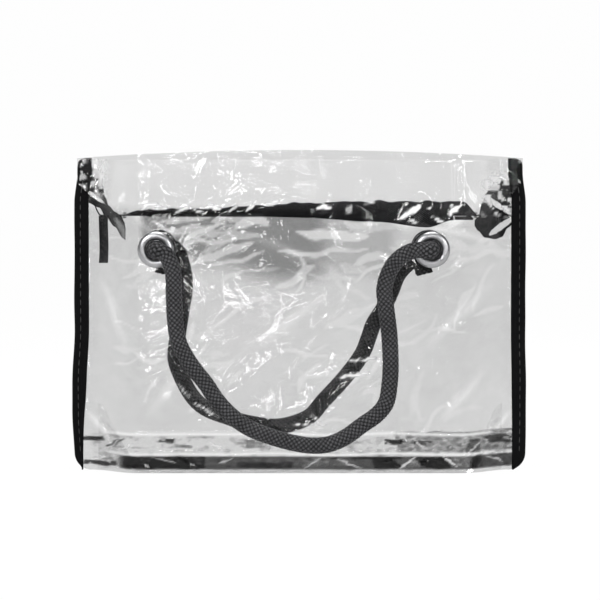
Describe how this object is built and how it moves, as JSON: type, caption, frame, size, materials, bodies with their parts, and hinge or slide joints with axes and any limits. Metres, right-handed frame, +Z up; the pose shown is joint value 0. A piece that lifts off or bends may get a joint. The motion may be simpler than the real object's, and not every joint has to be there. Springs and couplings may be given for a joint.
{
  "type": "makeup bag",
  "caption": "Slim clear-film makeup bag with bound side seams, a folded bottom gusset, a zip recessed below the top edge and braided rope handles knotted through metal eyelets",
  "frame": {"origin": "on the surface the bag stands on, at the middle of its width and depth", "axes": "X along the bag's width, -Y out of the front, Z up"},
  "size_m": [0.22, 0.061, 0.156],
  "materials": {
    "clear_film": "clear glossy film, lightly creased",
    "binding_tape": "black woven binding tape",
    "zip_tape": "black woven zip tape",
    "zip_teeth": "black moulded teeth",
    "slider_paint": "black enamel",
    "nickel": "polished nickel plate",
    "rope": "black braided cotton rope"
  },
  "bodies": {
    "bag": {"front_panel": "clear_film", "back_panel": "clear_film", "bottom_gusset": "clear_film", "left_binding": "binding_tape", "right_binding": "binding_tape", "left_zip_end": "zip_tape", "right_zip_end": "zip_tape", "zip_tape_tail": "zip_tape", "zip_stops": "nickel", "front_left_eyelet": "nickel", "front_right_eyelet": "nickel", "back_left_eyelet": "nickel", "back_right_eyelet": "nickel", "front_left_washer": "nickel", "front_right_washer": "nickel", "back_left_washer": "nickel", "back_right_washer": "nickel", "front_rope_ends": "rope", "back_rope_ends": "rope"},
    "front_flap": {"front_zip_facing": "clear_film", "front_zip_tape": "zip_tape", "front_zip_teeth": "zip_teeth"},
    "back_flap": {"back_zip_facing": "clear_film", "back_zip_tape": "zip_tape", "back_zip_teeth": "zip_teeth"},
    "slider": {"zip_slider": "slider_paint"},
    "pull": {"zip_pull": "slider_paint"},
    "front_loop": {"front_handle": "rope"},
    "back_loop": {"back_handle": "rope"}
  },
  "joints": [
    {"name": "front_handle_swing", "type": "hinge", "parent": "bag", "child": "front_loop", "pos_m": [0, -0.0265, 0.108], "axis": [-1, 0, 0], "range_deg": [0, 180]},
    {"name": "back_handle_swing", "type": "hinge", "parent": "bag", "child": "back_loop", "pos_m": [0, 0.0265, 0.108], "axis": [1, 0, 0], "range_deg": [0, 180]},
    {"name": "front_flap_open", "type": "hinge", "parent": "bag", "child": "front_flap", "pos_m": [0, -0.01915, 0.1505], "axis": [-1, 0, 0], "range_deg": [0, 20]},
    {"name": "back_flap_open", "type": "hinge", "parent": "bag", "child": "back_flap", "pos_m": [0, 0.01915, 0.1505], "axis": [1, 0, 0], "range_deg": [0, 20]},
    {"name": "slider_run", "type": "slide", "parent": "bag", "child": "slider", "axis": [-1, 0, 0], "range_m": [0, 0.1596]},
    {"name": "pull_flip", "type": "hinge", "parent": "slider", "child": "pull", "pos_m": [0.0798, 0, 0.1274], "axis": [0, 1, 0], "range_deg": [0, 115]}
  ]
}
